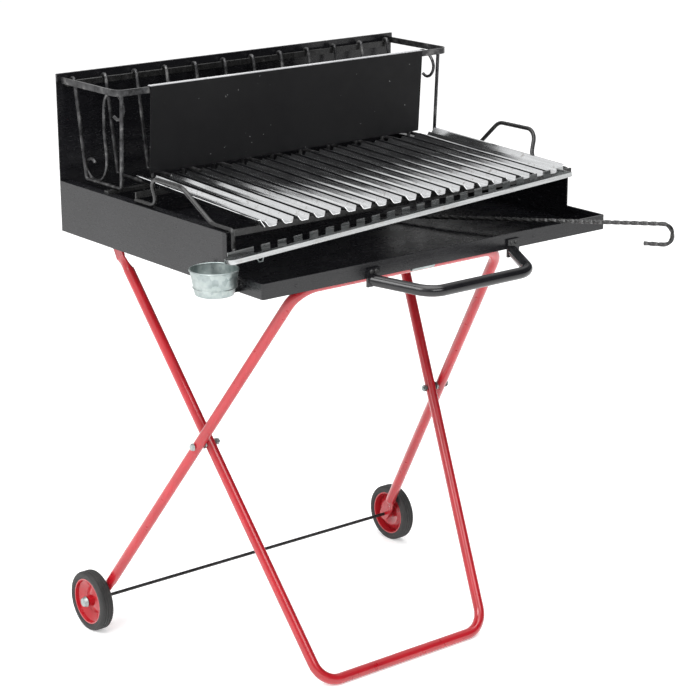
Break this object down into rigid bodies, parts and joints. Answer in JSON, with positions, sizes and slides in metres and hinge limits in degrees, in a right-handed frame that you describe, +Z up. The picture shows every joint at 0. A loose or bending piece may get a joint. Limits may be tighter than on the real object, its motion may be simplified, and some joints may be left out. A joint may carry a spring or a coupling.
{
  "type": "folding charcoal barbecue",
  "caption": "Folding charcoal barbecue: flat fire pan on crossed tube legs with wheels, upright fire basket behind a lift-out grate of sloping channels, drip trough and cup.",
  "frame": {"origin": "on the ground below the middle of the whole outline, legs unfolded", "axes": "+Z up, +Y towards the back panel, +X to the right of someone standing at the front"},
  "size_m": [0.786, 0.7543, 0.967],
  "materials": {
    "black_enamel": "satin",
    "gloss_black": "gloss",
    "dark_steel": "satin",
    "reflector": "satin",
    "grate_steel": "satin",
    "zinc": "satin",
    "red_paint": "gloss",
    "tyre": "matte"
  },
  "bodies": {
    "pan": {"fire_pan": "black_enamel", "side_panel_left": "black_enamel", "side_panel_right": "black_enamel", "back_panel": "black_enamel", "panel_rivets": "black_enamel", "basket_rim": "dark_steel", "rear_rail": "dark_steel", "basket_bars": "dark_steel", "basket_foot": "dark_steel", "scroll_left": "dark_steel", "scroll_right": "dark_steel", "cup_holder": "black_enamel", "tool_hook": "black_enamel", "carry_handle": "gloss_black", "handle_bolts": "dark_steel", "hinge_brackets": "black_enamel", "hinge_bolts": "zinc", "crossbar_stop": "black_enamel", "crossbar_rest": "black_enamel", "catch_spring": "zinc"},
    "foot": {"foot_frame": "red_paint", "pivot_bolts": "zinc", "pivot_nuts": "zinc", "pivot_spacers": "zinc"},
    "wheel_frame": {"wheel_frame": "red_paint", "axle": "dark_steel", "axle_caps": "zinc"},
    "wheel_left": {"wheel_left": "red_paint", "tyre_left": "tyre"},
    "wheel_right": {"wheel_right": "red_paint", "tyre_right": "tyre"},
    "reflector": {"reflector_plate": "reflector"},
    "grate": {"v_channels": "grate_steel", "grate_flange_left": "grate_steel", "grate_flange_right": "grate_steel", "grate_bars": "dark_steel", "grate_handle_left": "dark_steel", "grate_handle_right": "dark_steel", "drip_channel": "grate_steel", "drain_hook": "zinc"},
    "cup": {"cup": "zinc"},
    "poker": {"poker": "dark_steel"}
  },
  "joints": [
    {"name": "foot_hinge", "type": "hinge", "parent": "pan", "child": "foot", "pos_m": [0.031, 0.279, 0.692], "axis": [-1, 0, 0], "range_deg": [0, 54]},
    {"name": "frame_pivot", "type": "hinge", "parent": "foot", "child": "wheel_frame", "pos_m": [0.031, 0.097, 0.38], "axis": [1, 0, 0], "range_deg": [0, 108]},
    {"name": "wheel_left_spin", "type": "hinge", "parent": "wheel_frame", "child": "wheel_left", "pos_m": [0.031, 0.32293, 0.0525], "axis": [1, 0, 0], "continuous": true},
    {"name": "wheel_right_spin", "type": "hinge", "parent": "wheel_frame", "child": "wheel_right", "pos_m": [0.031, 0.32293, 0.0525], "axis": [1, 0, 0], "continuous": true},
    {"name": "grate_lift", "type": "slide", "parent": "pan", "child": "grate", "axis": [0, 0, 1], "range_m": [0, 0.25]},
    {"name": "reflector_lift", "type": "slide", "parent": "pan", "child": "reflector", "axis": [0, -0.0708, 0.9975], "range_m": [0, 0.25]},
    {"name": "cup_pull", "type": "slide", "parent": "pan", "child": "cup", "axis": [-1, 0, 0], "range_m": [0, 0.12]},
    {"name": "poker_pull", "type": "slide", "parent": "pan", "child": "poker", "axis": [0.4467, -0.8921, 0.068], "range_m": [0, 0.35]}
  ],
  "couplings": [
    {"joint": "frame_pivot", "follows": "foot_hinge", "ratio": 2}
  ]
}
